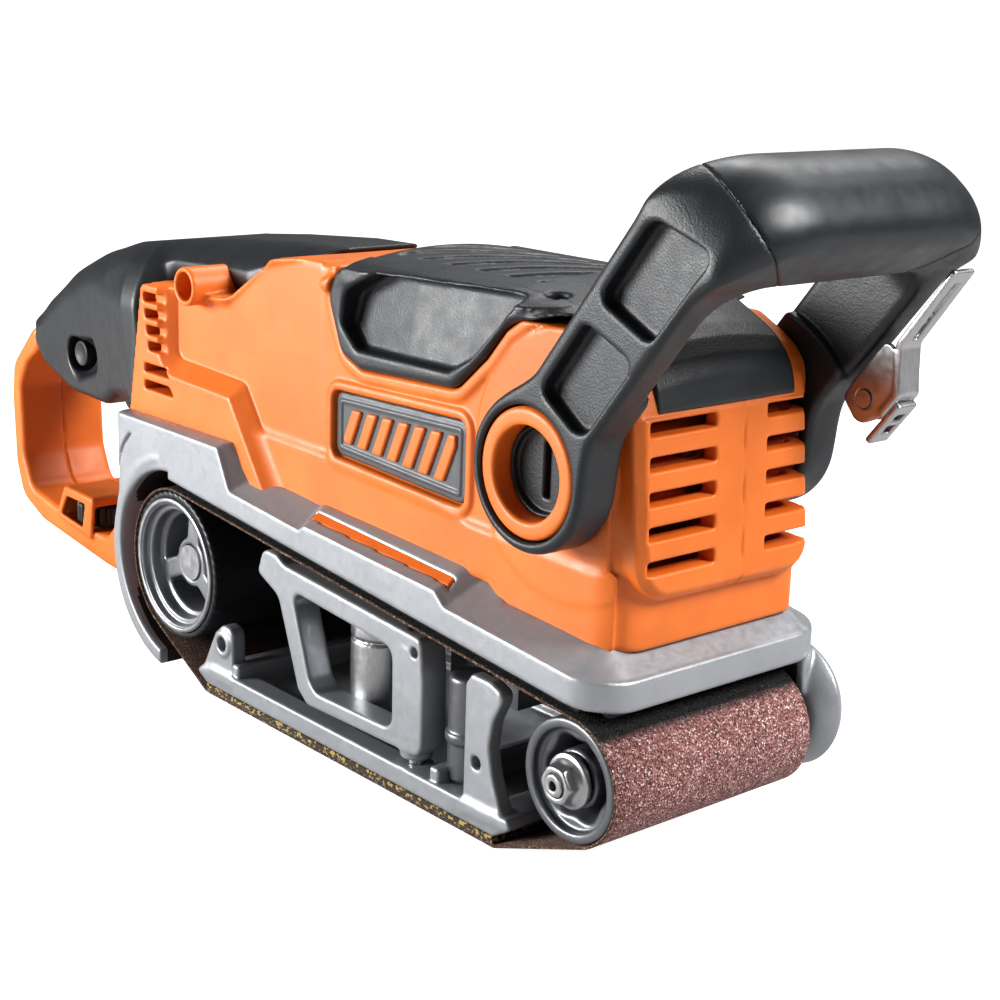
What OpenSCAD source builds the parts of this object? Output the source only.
// Handheld belt sander for 76 x 533 mm belts, all sizes in millimetres.
// The origin is the centre of the sanding face: x forward, y to the machine's left, z up.

/* [Sanding belt] */
// Width of the sanding belt
belt_w = 76; // [74:1:78]
// Thickness of the sanding belt
belt_t = 1; // [0.8:0.1:1.2]
// Length of the flat sanding face
platen_l = 153; // [145:1:155]

/* [Rollers] */
// Distance of the rear drum axis behind the centre
drum_back = 93.5; // [93:0.5:95]
// Height of the rear drum axis
drum_z = 39.2; // [39:0.1:40]
// Radius of the rubber face of the rear drum
drum_r = 25.5; // [25:0.1:25.6]
// Distance of the front roller axis ahead of the centre
roller_front = 102.6; // [102:0.1:103]
// Height of the front roller axis
roller_z = 30.1; // [30:0.1:31]
// Radius of the front roller
roller_r = 17.3; // [17:0.1:17.3]

/* [Frame] */
// Near (open) side of the frame
frame_near = -40; // [-41:0.5:-40]
// Far side of the frame
frame_far = 48; // [47.5:0.5:48]
// Thickness of the far cheek
cheek_t = 7; // [6:0.5:7]
// Clearance under the shelf lip at the middle
lip_z = 61.5; // [61:0.5:62]

/* [Motor housing] */
// Centre plane of the motor housing
mid_y = 5; // [5:0.5:5]
// Half width of the motor housing
body_half = 34; // [34:0.5:34]
// Wall thickness of the housing shells
wall = 3; // [2.5:0.1:3]
// Height of the motor axis
motor_z = 111; // [111:0.5:112]
// Half width of the rear handle
grip_half = 17; // [16:0.5:17]

/* [Front handle] */
// Distance of the handle pivot ahead of the centre
pivot_x = 88; // [87:0.5:88]
// Outer radius of the pivot flange on each arm
hub_r = 21; // [20.5:0.5:21]
// Radius of the housing boss that the arm turns on
boss_r = 17.5; // [17:0.1:17.5]
// Half width over the two handle arms
arm_half = 49.5; // [49:0.5:49.5]
// Thickness of one handle arm
arm_t = 14.5; // [14:0.5:14.5]
// Angle of the arms above the horizontal
arm_angle = 52; // [50:1:54]
// Distance from the pivot to the cross grip
grip_reach = 92; // [91:0.5:93]

/* [Fits] */
// Radial clearance of turning parts
run_gap = 0.05; // [0.03:0.01:0.08]
// Radial clearance of seated parts
seat_gap = 0.02; // [0.01:0.01:0.04]

/* [Hidden] */
$fn = 72;

drum_x = -drum_back;
roller_x = roller_front;
near_y = mid_y - body_half;
far_y = mid_y + body_half;
belt_near = -belt_w / 2;
belt_far = belt_w / 2;
cheek_y = frame_far - cheek_t;
platen_half = platen_l / 2;
lip_slope = -(drum_z + drum_r - roller_z - roller_r) / (drum_back + roller_front);
frame_front = 114.5;
body_front = 110;
body_rear = -124;
guard_r = 37.5;
// Cross shaft that takes the drive from the motor to the left side
cross_x = -62;
cone_near = 14;
cone_far = 20;
bevel_angle = 32;
pulley_small_r = 13;
pulley_large_r = 22;
drive_y = 52;
drive_w = 10;
drive_belt_t = 2.5;
arm_step = 3.5;
clear_r = 38;
shaft_r = 4;
cross_r = 5;
drum_shaft_r = 6;
axle_r = 5;
belt_gap = 0.15;
lever_pin_x = 32;
lever_pin_y = -32;
lever_pin_r = 2.5;
yoke_near = 31;
yoke_far = 37;
tracking_x = 70;
tracking_z = 52;
shoe_screw_x = [-45, 40];
shoe_screw_z = 14;
grip_v = 3;
grip_x = pivot_x + grip_reach * cos(arm_angle) + grip_v * sin(arm_angle);
grip_z = motor_z + grip_reach * sin(arm_angle) - grip_v * cos(arm_angle);
arm_back = 15.5;
arm_front = 10.3;
// Pin of the clamp lever, ahead of the left arm's front edge
clamp_u = 35;
clamp_v = 18.5;
clamp_x = pivot_x + clamp_u * cos(arm_angle) + clamp_v * sin(arm_angle);
clamp_z = motor_z + clamp_u * sin(arm_angle) - clamp_v * cos(arm_angle);
lug_y = 46.5;
lug_t = 5;
cheek_gap = 0.3;
sheet_t = 1.5;
clamp_pin_r = 2.5;
trigger_x = -159;
trigger_z = 86;
dial_x = -202;
dial_y = -2;
dial_z = 28;
dust_r = 16;
dust_y = 68;
dust_z = 62;

orange = [0.93, 0.48, 0.16];
black = [0.1, 0.1, 0.11];
cast = [0.66, 0.67, 0.69];
steel = [0.6, 0.61, 0.63];
brass = [0.72, 0.55, 0.25];
grit = [0.42, 0.2, 0.17];

// ---- helpers ----

function arc(cx, cz, r, from, to, steps = 24) =
  [for (i = [0 : steps]) [cx + r * cos(from + (to - from) * i / steps),
                          cz + r * sin(from + (to - from) * i / steps)]];

// Underside of the shelf lip, which runs parallel to the upper run of the belt
function lip_at(x) = lip_z + lip_slope * (x - 9);

// Direction of the outward normal on the outer tangent from circle a to circle b, each [x, z, r]
function out_angle(a, b) =
  atan2(b[1] - a[1], b[0] - a[0]) + 90
  - asin((a[2] - b[2]) / norm([b[0] - a[0], b[1] - a[1]]));

function turn_between(from, to) =
  let (turn = (from - to) % 360) turn < 0 ? turn + 360 : turn;

// Outline of a band stretched round circles that are listed clockwise
function loop_points(circles, grow, steps = 20) =
  let (n = len(circles))
  [for (i = [0 : n - 1])
    let (q = circles[i],
         from = out_angle(circles[(i + n - 1) % n], q),
         turn = turn_between(from, out_angle(q, circles[(i + 1) % n])))
    each arc(q[0], q[1], q[2] + grow, from, from - turn, steps)];

module box(low, high) {
  translate(low)
    cube(high - low);
}

module y_cyl(x, z, r, y0, y1) {
  translate([x, y1, z])
    rotate([90, 0, 0])
      cylinder(r = r, h = y1 - y0);
}

module y_ring(x, z, r_in, r_out, y0, y1) {
  difference() {
    y_cyl(x, z, r_out, y0, y1);
    y_cyl(x, z, r_in, y0 - 1, y1 + 1);
  }
}

module x_cyl(y, z, r, x0, x1) {
  translate([x0, y, z])
    rotate([0, 90, 0])
      cylinder(r = r, h = x1 - x0);
}

module x_ring(y, z, r_in, r_out, x0, x1) {
  difference() {
    x_cyl(y, z, r_out, x0, x1);
    x_cyl(y, z, r_in, x0 - 1, x1 + 1);
  }
}

module z_cyl(x, y, r, z0, z1) {
  translate([x, y, z0])
    cylinder(r = r, h = z1 - z0);
}

// An outline in the x-z plane, run from y0 to y1
module side_plate(points, y0, y1) {
  translate([0, y1, 0])
    rotate([90, 0, 0])
      linear_extrude(height = y1 - y0)
        polygon(points);
}

// Screw along y with its head at y_head; dir is +1 when the shank runs to +y
module y_screw(x, z, y_head, dir, length, r = 2, head_r = 3.6) {
  head_h = 2.4;
  difference() {
    union() {
      y_cyl(x, z, head_r, min(y_head, y_head + dir * head_h), max(y_head, y_head + dir * head_h));
      y_cyl(x, z, r, min(y_head, y_head + dir * length), max(y_head, y_head + dir * length));
    }
    translate([x, y_head, z])
      rotate([90, 0, 0])
        cylinder(r = 1.7, h = 3, center = true, $fn = 6);
  }
}

// ---- frame ----

// Heights of the shelf top, from the rear to the front
shelf_rear = 88;
shelf_mid = 76.5;
shelf_front = 68;

function shelf_top_line() = [
  [body_rear - 6, shelf_rear - 1], [-62, shelf_rear], [-52, shelf_mid + 1],
  [58, shelf_mid - 1.5], [66, shelf_front + 0.5], [body_front + 1, shelf_front - 0.8]];

module shelf_side(y0, y1, drop) {
  side_plate(concat(
    [for (p = shelf_top_line()) [p[0], p[1] - drop]],
    [[body_front + 1, lip_at(body_front) + 2], [body_rear - 6, lip_at(body_rear - 6) + 2]]), y0, y1);
}

module base_frame() {
  boss_y = 16;
  color(cast)
    difference() {
      union() {
        // sloping deck over the belt
        side_plate([
          [body_rear - 6, lip_at(body_rear - 6) + 1], [frame_front - 2, lip_at(frame_front) + 1],
          [frame_front - 2, lip_at(frame_front) + 6], [body_rear - 6, lip_at(body_rear - 6) + 6]],
          frame_near + 1, frame_far);
        // lip band along the open side
        side_plate([
          [body_rear - 5, lip_at(body_rear - 5)], [frame_front, lip_at(frame_front)],
          [frame_front, lip_at(frame_front) + 9], [body_rear - 5, lip_at(body_rear - 5) + 9]],
          frame_near, frame_near + 4);
        // stepped side walls that the housing stands in
        for (step = [0 : 2])
          shelf_side(frame_near + 4 + 2 * step, frame_near + 6 + 2 * step, 6 - 2 * step - 2);
        shelf_side(near_y - 2, near_y - 0.1, 0);
        shelf_side(far_y + 0.1, far_y + 3, 0);
        // front band
        box([body_front + 0.5, frame_near, lip_at(frame_front)],
            [frame_front, frame_far, lip_at(frame_front) + 11]);
        // far cheek
        side_plate(concat(
          arc(drum_x, drum_z, guard_r, 225, 90),
          [[-62, shelf_rear - 4], [-52, shelf_mid], [58, shelf_mid - 3], [66, shelf_front],
           [frame_front, shelf_front - 4]],
          arc(roller_x, roller_z + 2, 23, 40, -60, 12),
          [[platen_half, 10], [-platen_half, 10]]), cheek_y, frame_far);
        // guard around the back of the drum
        intersection() {
          y_ring(drum_x, drum_z, guard_r - 6, guard_r - 0.6, frame_near, cheek_y + 1);
          side_plate([[drum_x, drum_z], [drum_x, 80], [-140, 80], [-140, 8], [-118, 2]],
                     frame_near - 1, frame_far + 1);
        }
        // bearing boss inside the drum
        y_cyl(drum_x, drum_z, 16.5, boss_y, cheek_y + 1);
        // cross rib that carries the tension block
        box([-40, 30, 42], [40, cheek_y + 1, 50]);
      }
      y_cyl(drum_x, drum_z, 11 + seat_gap, boss_y - 1, frame_far + 1);
      y_cyl(tracking_x, tracking_z, 3 + run_gap, cheek_y - 1, frame_far + 1);
      for (x = shoe_screw_x)
        y_cyl(x, shoe_screw_z, 2.1, cheek_y - 1, frame_far + 1);
    }
}

function cover_circles() = [
  [drum_x, drum_z, pulley_large_r + 7], [cross_x, motor_z, pulley_small_r + 7]];

module drive_cover() {
  cover_y1 = drive_y + drive_w + 6;
  color(black)
    difference() {
      union() {
        side_plate(loop_points(cover_circles(), 0), frame_far + 0.1, cover_y1);
        cover_ears();
      }
      side_plate(loop_points(cover_circles(), -2.5), frame_far - 1, cover_y1 - 2.5);
      cover_screw_holes();
    }
}

function cover_screw_spots() = [
  [cross_x + 17, motor_z + 14], [cross_x + 8, drum_z + 22],
  [drum_x - 30, drum_z + 12], [drum_x + 24, drum_z - 21]];

ear_h = 4;

module cover_ears() {
  for (s = cover_screw_spots())
    y_cyl(s[0], s[1], 5, frame_far + 0.1, frame_far + ear_h);
}

module cover_screw_holes() {
  for (s = cover_screw_spots()) {
    y_cyl(s[0], s[1], 2.1, frame_far - 1, frame_far + ear_h + 1);
    y_cyl(s[0], s[1], 3.7, frame_far + ear_h, frame_far + ear_h + 20);
  }
}

module drive_cover_screws() {
  color(steel)
    for (s = cover_screw_spots())
      y_screw(s[0], s[1], frame_far + ear_h + 2.45, -1, 6.3, 2, 3.4);
}

module dust_port() {
  port_x0 = -172;
  port_x1 = -134;
  color(black)
    difference() {
      union() {
        x_cyl(dust_y, dust_z, dust_r + 2.5, port_x0, port_x1);
        box([port_x1 - 6, frame_far - 8, dust_z - 17], [-131.4, dust_y + 18.5, dust_z + 17]);
      }
      x_cyl(dust_y, dust_z, dust_r, port_x0 - 1, port_x1);
    }
}

// ---- motor housing ----

function body_outline() = concat(
  [[body_rear, shelf_rear + 0.3], [body_rear, 130], [-118, 133], [-72, 134], [-46, 148]],
  [[-34, 149.5], [84, 149.5]],
  arc(body_front - 21, 128.5, 21, 80, 4, 8),
  [[body_front, shelf_front - 0.3], [66, shelf_front + 1], [58, shelf_mid - 1],
   [-52, shelf_mid + 1.5], [-62, shelf_rear + 0.4]]);

function body_hollow() = concat(
  [[body_rear + wall, shelf_rear + wall + 1], [body_rear + wall, 129], [-70, 130], [-44, 144]],
  [[-34, 146], [84, 146]],
  arc(body_front - 22, 126, 19, 80, 4, 8),
  [[body_front - wall, shelf_front + wall], [67, shelf_front + wall + 1], [59, shelf_mid + 2.5],
   [-51, shelf_mid + 5], [-61, shelf_rear + 3.5]]);

function handle_outline() = [
  [-123, 134], [-150, 136], [-178, 130], [-205, 120], [-228, 107], [-243, 95], [-253, 80],
  [-255, 68], [-254.5, 40], [-252, 29], [-244, 21], [-226, 17], [-186, 11.5], [-150, 9.5], [-138, 9.5],
  [-132, 12], [-132, 80], [-126, 86], [-123, 90]];

function handle_opening() = [
  [-140, 38], [-150, 36], [-174, 36], [-183, 22.5], [-226, 27], [-240, 30], [-245, 36],
  [-247, 44], [-248, 70], [-243, 78], [-232, 80], [-196, 79], [-160, 78], [-146, 74], [-140, 66]];

vent_rows = 5;

module nose_vents(y0, y1) {
  for (row = [0 : vent_rows - 1])
    box([body_front - wall - 3, y0, 82 + 8.6 * row], [body_front + 4, y1, 86 + 8.6 * row]);
}

module rear_vents(y0, y1) {
  for (row = [0 : 3])
    box([-120, y0, 107 + 6 * row], [-107, y1, 110 + 6 * row]);
  for (row = [0 : 1])
    box([-120 + 2 * row, y0, 93 + 6 * row], [-101, y1, 96 + 6 * row]);
}

// Block on the lower bar of the rear handle that holds the speed dial
module dial_turret() {
  box([dial_x - 17, mid_y - grip_half - 3, dial_z - 11], [dial_x + 16, mid_y + grip_half - 1, dial_z + 9]);
}

module housing_solid() {
  boss_out = arm_half - 0.3;
  difference() {
    union() {
      side_plate(body_outline(), near_y, far_y);
      side_plate(handle_outline(), mid_y - grip_half, mid_y + grip_half);
      // raised panel with the air intake slots
      box([body_front - 2, mid_y - 28, 77], [body_front + 2, mid_y + 32, 126]);
      y_cyl(pivot_x, motor_z, boss_r, mid_y - boss_out, mid_y + boss_out);
      // seat of the far cross-shaft bearing
      y_cyl(cross_x, motor_z, 18, far_y - wall - 1, frame_far);
      intersection() {
        dial_turret();
        box([-270, mid_y - grip_half - 3, 0], [0, mid_y, 100]);
      }
    }
    side_plate(body_hollow(), near_y + wall, far_y - wall);
    difference() {
      side_plate(handle_opening(), mid_y - grip_half - 1, mid_y + grip_half + 1);
      dial_turret();
    }
    y_cyl(pivot_x, motor_z, 12.2, mid_y - boss_out - 1, mid_y + boss_out + 1);
    y_cyl(cross_x, motor_z, 11 + seat_gap, far_y - wall - 2, frame_far + 1);
    nose_vents(mid_y - 27, mid_y - 4);
    nose_vents(mid_y + 16, mid_y + 31);
    rear_vents(near_y - 1, near_y + wall + 1);
    rear_vents(far_y - wall - 1, far_y + 1);
    // pocket for the trigger, the switch and the lock button
    box([-204, mid_y - 10, 73], [-146, mid_y + 10, 112]);
    y_cyl(trigger_x, trigger_z, 1.44, mid_y - 13, mid_y + 13);
    y_cyl(-199, 92, 5 + run_gap, mid_y - grip_half - 1, mid_y - 9);
    // pocket for the speed dial and its electronics
    box([dial_x - 13, dial_y - 14, dial_z - 5], [dial_x + 13, dial_y + 17, dial_z + 5]);
    box([dial_x - 8, mid_y - grip_half - 4, dial_z - 5], [dial_x + 8, mid_y, dial_z + 5]);
    // cord entry in the lower tube
    y_cyl(-168, 24, 5, mid_y, mid_y + grip_half + 1);
    housing_screw_holes();
  }
}

function housing_screw_spots() = [[-94, 121, body_half], [-236, 88, grip_half],
                                  [-150, 24, grip_half], [-140, 120, grip_half]];

module housing_screw_holes() {
  for (s = housing_screw_spots()) {
    y_cyl(s[0], s[1], 4, mid_y - s[2] - 1, mid_y - s[2] + 6);
    y_cyl(s[0], s[1], 2.1, mid_y - s[2], mid_y + s[2] - 6);
  }
}

module screw_posts() {
  y_cyl(-94, 121, 6, near_y + 1, far_y - 1);
}

module housing_right() {
  color(orange)
    intersection() {
      union() {
        housing_solid();
        difference() {
          screw_posts();
          housing_screw_holes();
        }
      }
      box([-270, -60, 0], [130, mid_y, 170]);
    }
}

module housing_left() {
  color(orange)
    intersection() {
      union() {
        housing_solid();
        difference() {
          screw_posts();
          housing_screw_holes();
        }
      }
      box([-270, mid_y, 0], [130, 70, 170]);
    }
}

module housing_screws() {
  color(steel)
    for (s = housing_screw_spots())
      y_screw(s[0], s[1], mid_y - s[2] + 2, 1, 2 * s[2] - 10);
}

function grip_line(lift) = [
  [-40, 149.8 + lift], [-57, 149.3 + lift], [-95, 146.3 + lift], [-124, 143 + lift],
  [-150, 139 + lift], [-178, 132.5 + lift], [-206, 122.5 + lift], [-230, 109.5 + lift],
  [-245.5 - lift / 2, 97 + lift], [-256 - lift, 81]];

module rear_grip() {
  color(black)
    difference() {
      union() {
        side_plate(concat(grip_line(0), [[-254, 76], [-224, 81], [-150, 92], [-124, 100],
                                         [-124, 131], [-72, 131], [-46, 145]]),
                   mid_y - grip_half - 2.5, mid_y + grip_half + 2.5);
        side_plate(concat([for (p = grip_line(0)) if (p[0] > -150) p],
                          [[-138, 132], [-124, 131], [-72, 131], [-46, 145]]),
                   mid_y - 24, mid_y + 24);
      }
      side_plate(body_outline(), near_y - 1, far_y + 1);
      side_plate(handle_outline(), mid_y - grip_half - 0.02, mid_y + grip_half + 0.02);
      y_cyl(-199, 92, 7, mid_y - grip_half - 4, mid_y);
      side_plate([[-130, 60], [-130, 131], [-72, 131], [-72, 60]], near_y, far_y);
      for (s = housing_screw_spots())
        y_cyl(s[0], s[1], 5, mid_y - grip_half - 4, mid_y);
    }
}

module top_cover() {
  cover_points = [[-30, 149.7], [-26, 152.5], [20, 154], [84, 155], [92, 152], [88, 149.7]];
  side_points = [[-15, 149.6], [-17, 140], [-10, 126], [0, 121.5], [40, 123.5], [49, 127],
                 [58, 140], [68, 148], [80, 149.6]];
  color(black)
    difference() {
      union() {
        side_plate(cover_points, near_y - 1, far_y + 1);
        side_plate(side_points, near_y - 3, near_y - 0.1);
        side_plate(side_points, far_y + 0.1, far_y + 3);
        box([-14, near_y - 3, 149], [74, near_y - 0.1, 151]);
        box([-14, far_y + 0.1, 149], [74, far_y + 3, 151]);
      }
      for (rib = [0 : 7])
        box([-20 + 8 * rib, -14, 152.5], [-15 + 8 * rib, 24, 160]);
    }
}

module badge_plates() {
  badge = [[-13, 92.5], [46, 90], [46.5, 114.5], [-13.5, 112]];
  color(steel) {
    side_plate(badge, near_y - 1.6, near_y - 0.02);
    side_plate(badge, far_y + 0.02, far_y + 1.6);
  }
}

// ---- motor ----

module stator() {
  color(steel)
    difference() {
      x_cyl(mid_y, motor_z, 28, 0, 62);
      x_cyl(mid_y, motor_z, 16, -1, 63);
      for (side = [-1, 1])
        box([-1, mid_y + side * 29 - 4, motor_z - 9], [63, mid_y + side * 29 + 4, motor_z + 9]);
    }
}

module armature_shaft() {
  color(steel)
    x_cyl(mid_y, motor_z, shaft_r, -49, 104);
}

module armature_core() {
  color(steel)
    difference() {
      x_cyl(mid_y, motor_z, 15.4, 4, 58);
      x_cyl(mid_y, motor_z, shaft_r + seat_gap, 3, 59);
      for (slot = [0 : 11])
        translate([3, mid_y, motor_z])
          rotate([slot * 30, 0, 0])
            translate([0, -1.2, 12])
              cube([56, 2.4, 6]);
    }
}

module commutator() {
  color(brass)
    x_ring(mid_y, motor_z, shaft_r + seat_gap, 11, 76, 98);
}

module cooling_fan() {
  blades = 9;
  color(black)
    difference() {
      union() {
        x_cyl(mid_y, motor_z, 24, -26, -24);
        x_cyl(mid_y, motor_z, 9, -26, -14);
        for (blade = [0 : blades - 1])
          translate([-25, mid_y, motor_z])
            rotate([blade * 360 / blades, 0, 0])
              translate([0, -0.8, 5])
                cube([10, 1.6, 18.5]);
      }
      x_cyl(mid_y, motor_z, shaft_r + seat_gap, -27, -13);
    }
}

module motor_bearings() {
  color(steel) {
    x_ring(mid_y, motor_z, shaft_r + run_gap, 11, -38, -31);
    x_ring(mid_y, motor_z, shaft_r + run_gap, 9.5, 99, 105);
  }
}

module brush_holders() {
  color(brass)
    for (side = [-1, 1])
      translate([pivot_x, mid_y + side * 20, motor_z])
        difference() {
          cube([9, 16, 12], center = true);
          cube([6.2, 20, 9.2], center = true);
        }
}

module carbon_brushes() {
  color([0.15, 0.15, 0.15])
    for (side = [-1, 1])
      translate([pivot_x, mid_y + side * 17.2, motor_z])
        cube([6, 12, 9], center = true);
}

module brush_springs() {
  color(steel)
    for (side = [-1, 1])
      y_ring(pivot_x, motor_z, 1.4, 2.4, mid_y + side * 26.6 - 3.3, mid_y + side * 26.6 + 3.3);
}

module brush_caps() {
  cap_far = 44.5;
  color(black)
    for (side = [-1, 1])
      difference() {
        y_cyl(pivot_x, motor_z, 12.1, mid_y + side * (cap_far + 30) / 2 - (cap_far - 30) / 2,
              mid_y + side * (cap_far + 30) / 2 + (cap_far - 30) / 2);
        box([pivot_x - 1.6, mid_y + side * cap_far - 2, motor_z - 13],
            [pivot_x + 1.6, mid_y + side * cap_far + 2, motor_z + 13]);
      }
}

// ---- drive ----

module gear_case() {
  color(cast)
    difference() {
      box([-82, mid_y - 21, 92.3], [-30, mid_y + 24, 128]);
      box([-80, mid_y - 14, 94], [-39, mid_y + 25, 130]);
      x_cyl(mid_y, motor_z, 11 + seat_gap, -39.5, -29);
      x_cyl(mid_y, motor_z, 9, -45, -29);
      y_cyl(cross_x, motor_z, 11 + seat_gap, mid_y - 20.5, mid_y - 13);
    }
}

module bevel_pinion() {
  turn = cone_near * cos(bevel_angle);
  turn_far = cone_far * cos(bevel_angle);
  color(steel)
    difference() {
      union() {
        translate([cross_x + turn, mid_y, motor_z])
          rotate([0, 90, 0])
            cylinder(r1 = cone_near * sin(bevel_angle) - 0.25,
                     r2 = cone_far * sin(bevel_angle) - 0.25, h = turn_far - turn);
        x_cyl(mid_y, motor_z, 7, cross_x + turn_far - 0.5, -40);
      }
      x_cyl(mid_y, motor_z, shaft_r + seat_gap, cross_x, -38);
    }
}

module bevel_gear() {
  reach = cone_near * sin(bevel_angle);
  reach_far = cone_far * sin(bevel_angle);
  color(steel)
    difference() {
      union() {
        translate([cross_x, mid_y + reach, motor_z])
          rotate([-90, 0, 0])
            cylinder(r1 = cone_near * cos(bevel_angle) - 0.25,
                     r2 = cone_far * cos(bevel_angle) - 0.25, h = reach_far - reach);
        y_cyl(cross_x, motor_z, 9, mid_y + reach_far - 0.5, mid_y + 20);
      }
      y_cyl(cross_x, motor_z, cross_r + seat_gap, mid_y, mid_y + 22);
    }
}

module cross_shaft() {
  color(steel)
    y_cyl(cross_x, motor_z, cross_r, mid_y - 20, drive_y + drive_w);
}

module cross_shaft_bearings() {
  color(steel) {
    y_ring(cross_x, motor_z, cross_r + run_gap, 11, mid_y - 20.4, mid_y - 14.4);
    y_ring(cross_x, motor_z, cross_r + run_gap, 11, far_y + 1, far_y + 8);
  }
}

module drive_pulley() {
  color(steel)
    difference() {
      y_cyl(cross_x, motor_z, pulley_small_r, drive_y, drive_y + drive_w);
      y_cyl(cross_x, motor_z, cross_r + seat_gap, drive_y - 1, drive_y + drive_w + 1);
    }
}

module drum_pulley() {
  color(steel)
    difference() {
      y_cyl(drum_x, drum_z, pulley_large_r, drive_y, drive_y + drive_w);
      y_cyl(drum_x, drum_z, drum_shaft_r + seat_gap, drive_y - 1, drive_y + drive_w + 1);
      for (hole = [0 : 4])
        y_cyl(drum_x + 14 * cos(hole * 72), drum_z + 14 * sin(hole * 72), 3,
              drive_y - 1, drive_y + drive_w + 1);
    }
}

function drive_circles() = [[drum_x, drum_z, pulley_large_r], [cross_x, motor_z, pulley_small_r]];

module toothed_belt() {
  color(black)
    difference() {
      side_plate(loop_points(drive_circles(), 0.3 + drive_belt_t), drive_y + 0.5, drive_y + drive_w - 0.5);
      side_plate(loop_points(drive_circles(), 0.3), drive_y, drive_y + drive_w);
    }
}

module drum_hub() {
  color(cast)
    difference() {
      y_cyl(drum_x, drum_z, drum_r - 2.5, belt_near, belt_far);
      // stepped cup on the open side
      y_cyl(drum_x, drum_z, 20.5, belt_near - 1, belt_near + 5);
      difference() {
        y_cyl(drum_x, drum_z, 18, belt_near - 1, belt_near + 20);
        y_cyl(drum_x, drum_z, 7.5, belt_near + 8, belt_near + 21);
        for (spoke = [0 : 2])
          translate([drum_x, belt_near + 14, drum_z])
            rotate([0, 120 * spoke + 20, 0])
              translate([-2, 0, 0])
                cube([4, 7, 19]);
      }
      y_cyl(drum_x, drum_z, 17, 14, belt_far + 1);
      y_cyl(drum_x, drum_z, drum_shaft_r + seat_gap, belt_near - 1, belt_far + 1);
    }
}

module drum_lagging() {
  color(black)
    difference() {
      y_cyl(drum_x, drum_z, drum_r, belt_near + 0.5, belt_far);
      y_cyl(drum_x, drum_z, drum_r - 2.5 + seat_gap, belt_near - 1, belt_far + 1);
    }
}

module drum_shaft() {
  color(steel)
    y_cyl(drum_x, drum_z, drum_shaft_r, belt_near + 6, drive_y + drive_w + 1);
}

module drum_bearings() {
  color(steel) {
    y_ring(drum_x, drum_z, drum_shaft_r + run_gap, 11, 18, 26);
    y_ring(drum_x, drum_z, drum_shaft_r + run_gap, 11, 38, 46);
  }
}

// ---- front roller ----

module front_roller() {
  color(cast)
    difference() {
      y_cyl(roller_x, roller_z, roller_r, belt_near, 30);
      difference() {
        y_cyl(roller_x, roller_z, roller_r - 2.8, belt_near - 1, belt_near + 14);
        y_cyl(roller_x, roller_z, 9.4, belt_near, belt_near + 15);
        for (rib = [0 : 5])
          translate([roller_x, belt_near + 4, roller_z])
            rotate([0, 60 * rib, 0])
              translate([-1, 0, 8])
                cube([2, 11, 8]);
      }
      y_cyl(roller_x, roller_z, axle_r + 1, belt_near - 1, 31);
      y_cyl(roller_x, roller_z, 8 + seat_gap, belt_near - 1, belt_near + 12);
      y_cyl(roller_x, roller_z, 8 + seat_gap, 22, 31);
    }
}

module roller_bearings() {
  color(steel) {
    y_ring(roller_x, roller_z, axle_r + run_gap, 8, belt_near + 5, belt_near + 11);
    y_ring(roller_x, roller_z, axle_r + run_gap, 8, 23, 29);
  }
}

module roller_axle() {
  color(steel)
    difference() {
      union() {
        y_cyl(roller_x, roller_z, axle_r, belt_near + 2, yoke_far - 0.5);
        y_cyl(roller_x, roller_z, 3.4, belt_near - 5, belt_near + 3);
      }
      y_cyl(roller_x, roller_z, 1.2, belt_near - 6, belt_near + 1);
    }
}

module roller_nut() {
  color(steel)
    difference() {
      union() {
        y_cyl(roller_x, roller_z, 7.6, belt_near + 0.6, belt_near + 2);
        translate([roller_x, belt_near + 1, roller_z])
          rotate([90, 0, 0])
            cylinder(r = 5.8, h = 4.5, $fn = 6);
      }
      y_cyl(roller_x, roller_z, 3.4 + seat_gap, belt_near - 6, belt_near + 3);
    }
}

module idler_yoke() {
  color(cast)
    difference() {
      union() {
        // arm behind the roller, out of the belt's way
        side_plate([[52, 24], [60, 22], [roller_x, roller_z - 9], [roller_x + 8, roller_z],
                    [roller_x, roller_z + 9], [60, 40], [52, 38]], yoke_near, yoke_far);
        box([48, 4, 25], [60, yoke_far, 37]);
        box([20, 6, 26], [50, 18, 36]);
      }
      y_cyl(roller_x, roller_z, axle_r + seat_gap, yoke_near - 1, yoke_far + 1);
      // blind bore that holds the spring's front end
      x_cyl(12, 31, 4.2, 19, 30);
    }
}

module yoke_guide() {
  color(cast)
    difference() {
      box([8, 0, 21], [40, cheek_y - 0.05, 41.8]);
      box([8.4, 6 - 0.1, 26 - 0.1], [50, 18 + 0.1, 36 + 0.1]);
      box([30, 18, 20], [50, 35, 38]);
    }
}

module tension_spring() {
  color(steel)
    x_ring(12, 31, 2.2, 4, 8.5, 29.8);
}

module tension_lever() {
  low = belt_near + 2;
  color(cast)
    difference() {
      union() {
        side_plate([[-40, 50], [-44, 54], [-40, 56], [-33, 53.5], [lever_pin_x + 5, 49],
                    [lever_pin_x + 7, 44], [lever_pin_x + 7, 12], [lever_pin_x, 10],
                    [-22, 10.5], [-27, 14]], low - 1, low + 4);
        z_cyl(lever_pin_x, lever_pin_y, 5, 12, 46);
      }
      side_plate([[-27, 45], [22, 43], [22, 19], [-15, 17], [-19, 19]], low - 2, low + 5);
      z_cyl(lever_pin_x, lever_pin_y, lever_pin_r + run_gap, 5, 60);
      y_cyl(lever_pin_x - 2, 45.5, 1.5, low - 2, low + 1);
    }
}

module lever_pin() {
  color(steel)
    z_cyl(lever_pin_x, lever_pin_y, lever_pin_r, 8.2, 51);
}

// ---- sanding shoe and belt ----

shoe_z0 = 3.2;

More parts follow.
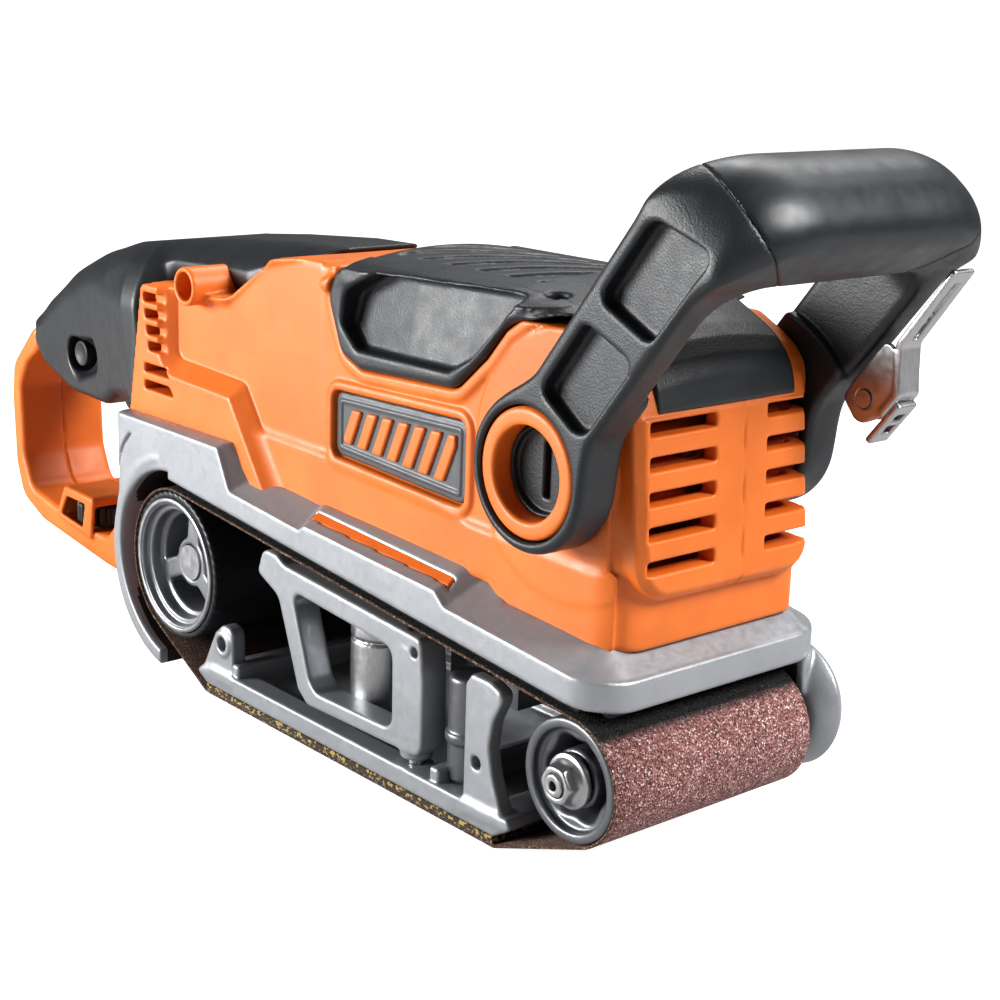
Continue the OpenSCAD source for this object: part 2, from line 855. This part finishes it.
module platen_shoe() {
  color(cast)
    difference() {
      union() {
        side_plate([[-platen_half, shoe_z0 + 1.4], [-platen_half + 3, shoe_z0],
                    [platen_half - 3, shoe_z0], [platen_half, shoe_z0 + 1.4],
                    [platen_half - 6, shoe_z0 + 5], [-platen_half + 6, shoe_z0 + 5]],
                   belt_near, belt_far);
        // rear ear with a bush hole
        side_plate([[-70, 8], [-66, 22], [-58, 24], [-50, 8]], belt_near + 1, belt_near + 5);
        // front upright that guards the roller
        side_plate([[46, 8], [44, 42], [57, 44], [59, 30], [66, 15], [75, 9]],
                   belt_near + 1, belt_near + 5);
        // back wall bolted to the far cheek
        box([-60, 34, 8], [44, cheek_y - 0.05, 20]);
        // cross ribs that tie the near edge to the back wall
        box([44, belt_near + 1, 8], [48, cheek_y - 0.05, 14]);
        box([-60, belt_near + 1, 8], [-56, cheek_y - 0.05, 14]);
        // lugs that hold the lever pin
        z_cyl(lever_pin_x, lever_pin_y, 6, 8, 9.8);
      }
      z_cyl(lever_pin_x, lever_pin_y, lever_pin_r + seat_gap, 8.2, 12);
      y_cyl(-62, 18, 2.4, belt_near, belt_near + 6);
      y_cyl(60, 20, 1.8, belt_near, belt_near + 6);
      for (x = shoe_screw_x)
        y_cyl(x, shoe_screw_z, 2.1, 33, frame_far);
    }
}

module cork_pad() {
  color([0.62, 0.48, 0.33])
    box([-platen_half + 3, belt_near, 1.9], [platen_half - 3, belt_far, shoe_z0]);
}

module graphite_sheet() {
  color([0.2, 0.2, 0.21])
    box([-platen_half + 3, belt_near, belt_t + 0.1], [platen_half - 3, belt_far, 1.9]);
}

module shoe_screws() {
  color(steel)
    for (x = shoe_screw_x)
      y_screw(x, shoe_screw_z, frame_far + 2.45, -1, 13);
}

function belt_circles() = [
  [drum_x, drum_z, drum_r], [roller_x, roller_z, roller_r],
  [platen_half - 3, belt_t + 2, 2], [-platen_half + 3, belt_t + 2, 2]];

module sanding_belt() {
  color(grit)
    difference() {
      side_plate(loop_points(belt_circles(), belt_t), belt_near, belt_far);
      side_plate(loop_points(belt_circles(), belt_gap), belt_near - 1, belt_far + 1);
    }
}

module tracking_knob() {
  color(black)
    difference() {
      union() {
        y_cyl(tracking_x, tracking_z, 9, frame_far + 0.3, frame_far + 12);
        y_cyl(tracking_x, tracking_z, 3, cheek_y - 1.5, frame_far + 1);
      }
      for (flute = [0 : 9])
        y_cyl(tracking_x + 10 * cos(36 * flute), tracking_z + 10 * sin(36 * flute), 2,
              frame_far - 1, frame_far + 13);
    }
}

// ---- front handle ----

// A point of the arm: u runs from the pivot to the grip, v towards the arm's front edge
function arm_point(u, v) = [pivot_x + u * cos(arm_angle) + v * sin(arm_angle),
                            motor_z + u * sin(arm_angle) - v * cos(arm_angle)];

function arm_points(list) = [for (p = list) arm_point(p[0], p[1])];

function arm_outline() = arm_points([
  [0, -arm_back], [78, -arm_back], [90, -12], [98, -4], [99, 4], [94, 11], [84, 13],
  [74, arm_front], [0, arm_front]]);

module arm(side) {
  outer = mid_y + side * arm_half;
  inner = mid_y + side * (arm_half - arm_t);
  step_y = mid_y + side * (arm_half - arm_t + arm_step);
  floor_y = mid_y + side * (arm_half - 4);
  difference() {
    union() {
      side_plate(arm_outline(), min(outer, inner), max(outer, inner));
      y_cyl(pivot_x, motor_z, hub_r, min(outer, inner), max(outer, inner));
    }
    y_cyl(pivot_x, motor_z, boss_r + run_gap, mid_y - 60, mid_y + 60);
    // inner face steps out beyond the pivot, so the arm clears the side grips of the top cover
    difference() {
      box([pivot_x - 20, min(inner - side, step_y), motor_z - 60],
          [pivot_x + 120, max(inner - side, step_y), motor_z + 120]);
      y_cyl(pivot_x, motor_z, clear_r, mid_y - 60, mid_y + 60);
    }
    // two shallow pockets in the outer face
    side_plate(arm_points([[27, -10.5], [50, -10.5], [50, 5.3], [40, 5.3], [27, -2]]),
               min(outer + side, floor_y), max(outer + side, floor_y));
    side_plate(arm_points([[55, -10.5], [78, -10.5], [78, 5.3], [55, 5.3]]),
               min(outer + side, floor_y), max(outer + side, floor_y));
  }
}

module handle_arm_right() {
  color(black)
    arm(-1);
}

// The left arm also carries the lug of the clamp lever
module handle_arm_left() {
  color(black)
    difference() {
      union() {
        arm(1);
        side_plate(arm_points([[31, 8], [31, 18.5], [39, 18.5], [46, 14], [46, 8]]),
                   lug_y, lug_y + lug_t);
        y_cyl(clamp_x, clamp_z, 5.2, lug_y, lug_y + lug_t);
      }
      y_cyl(clamp_x, clamp_z, clamp_pin_r + seat_gap, lug_y - 1, lug_y + lug_t + 1);
    }
}

module front_grip() {
  end_y = arm_half - arm_t + arm_step - 0.02;
  color(black)
    side_plate(loop_points([[grip_x - 5, grip_z - 1, 12], [grip_x + 6, grip_z + 1, 13]], 0),
               mid_y - end_y, mid_y + end_y);
}

// Folded steel lever: two cheeks on the pin and a strap along the front edge of the arm
module clamp_lever() {
  y0 = lug_y - cheek_gap - sheet_t;
  y1 = lug_y + lug_t + cheek_gap + sheet_t;
  cheeks = arm_points([[30, 13.4], [35, 12.6], [52, 12.6], [52, 17], [44, 26], [36, 26], [28, 22]]);
  strap = arm_points([[36, 26], [44, 26], [54, 17], [80, 15.8], [80, 14], [53, 15], [43, 24], [36, 24]]);
  color(steel)
    difference() {
      union() {
        side_plate(cheeks, y0, y0 + sheet_t);
        side_plate(cheeks, y1 - sheet_t, y1);
        side_plate(strap, y0, y1);
      }
      y_cyl(clamp_x, clamp_z, clamp_pin_r + run_gap, y0 - 1, y1 + 1);
    }
}

module clamp_pin() {
  color(steel)
    y_cyl(clamp_x, clamp_z, clamp_pin_r, lug_y - 2.2, lug_y + lug_t + 2.2);
}

// Bright stirrup in front of the pin, with a window that shows the clamp rod
module clamp_bracket() {
  y0 = lug_y - cheek_gap;
  y1 = lug_y + lug_t + cheek_gap;
  color(steel)
    difference() {
      side_plate(arm_points([[27, 26], [42, 26], [42, 27.8], [27, 27.8]]), y0 - 1.2, y1 + 1.2);
      side_plate(arm_points([[31, 25], [38, 25], [38, 29], [31, 29]]), lug_y, lug_y + lug_t);
    }
}

// ---- controls ----

module trigger() {
  color(black)
    difference() {
      side_plate([[trigger_x + 4, trigger_z + 6], [trigger_x + 4, trigger_z - 11], [-170, 70],
                  [-186, 72], [-189, 78], [-189, 88]], mid_y - 8, mid_y + 8);
      y_cyl(trigger_x, trigger_z, 1.42 + run_gap, mid_y - 9, mid_y + 9);
    }
}

module trigger_pin() {
  color(steel)
    y_cyl(trigger_x, trigger_z, 1.42, mid_y - 12.5, mid_y + 12.5);
}

module lock_button() {
  color(black)
    y_cyl(-199, 92, 5, mid_y - grip_half - 2, mid_y - 8);
}

module switch_module() {
  color(black)
    box([-186, mid_y - 7, 96], [-150, mid_y + 7, 110]);
}

module speed_dial() {
  color(black)
    difference() {
      z_cyl(dial_x, dial_y, 12, dial_z - 4, dial_z + 4);
      z_cyl(dial_x, dial_y, 2 + run_gap, dial_z - 5, dial_z + 5);
      for (groove = [0 : 23])
        z_cyl(dial_x + 12.3 * cos(15 * groove), dial_y + 12.3 * sin(15 * groove), 0.8,
              dial_z - 5, dial_z + 5);
    }
}

module speed_module() {
  color(steel) {
    z_cyl(dial_x, dial_y, 2, dial_z - 5, dial_z + 5);
    box([dial_x - 11, dial_y + 12.6, dial_z - 4.5], [dial_x + 11, dial_y + 16.5, dial_z + 4.5]);
  }
}

module power_cord() {
  color(black) {
    y_cyl(-168, 24, 4.9, mid_y + 2, mid_y + grip_half + 30);
    y_ring(-168, 24, 4.9, 7.5, mid_y + grip_half + 0.1, mid_y + grip_half + 24);
  }
}

base_frame();
drive_cover();
drive_cover_screws();
dust_port();
housing_right();
housing_left();
housing_screws();
rear_grip();
top_cover();
badge_plates();
stator();
armature_shaft();
armature_core();
commutator();
cooling_fan();
motor_bearings();
brush_holders();
carbon_brushes();
brush_springs();
brush_caps();
gear_case();
bevel_pinion();
bevel_gear();
cross_shaft();
cross_shaft_bearings();
drive_pulley();
drum_pulley();
toothed_belt();
drum_hub();
drum_lagging();
drum_shaft();
drum_bearings();
front_roller();
roller_bearings();
roller_axle();
roller_nut();
idler_yoke();
yoke_guide();
tension_spring();
tension_lever();
lever_pin();
platen_shoe();
cork_pad();
graphite_sheet();
shoe_screws();
sanding_belt();
tracking_knob();
handle_arm_right();
handle_arm_left();
front_grip();
clamp_lever();
clamp_pin();
clamp_bracket();
trigger();
trigger_pin();
lock_button();
switch_module();
speed_dial();
speed_module();
power_cord();
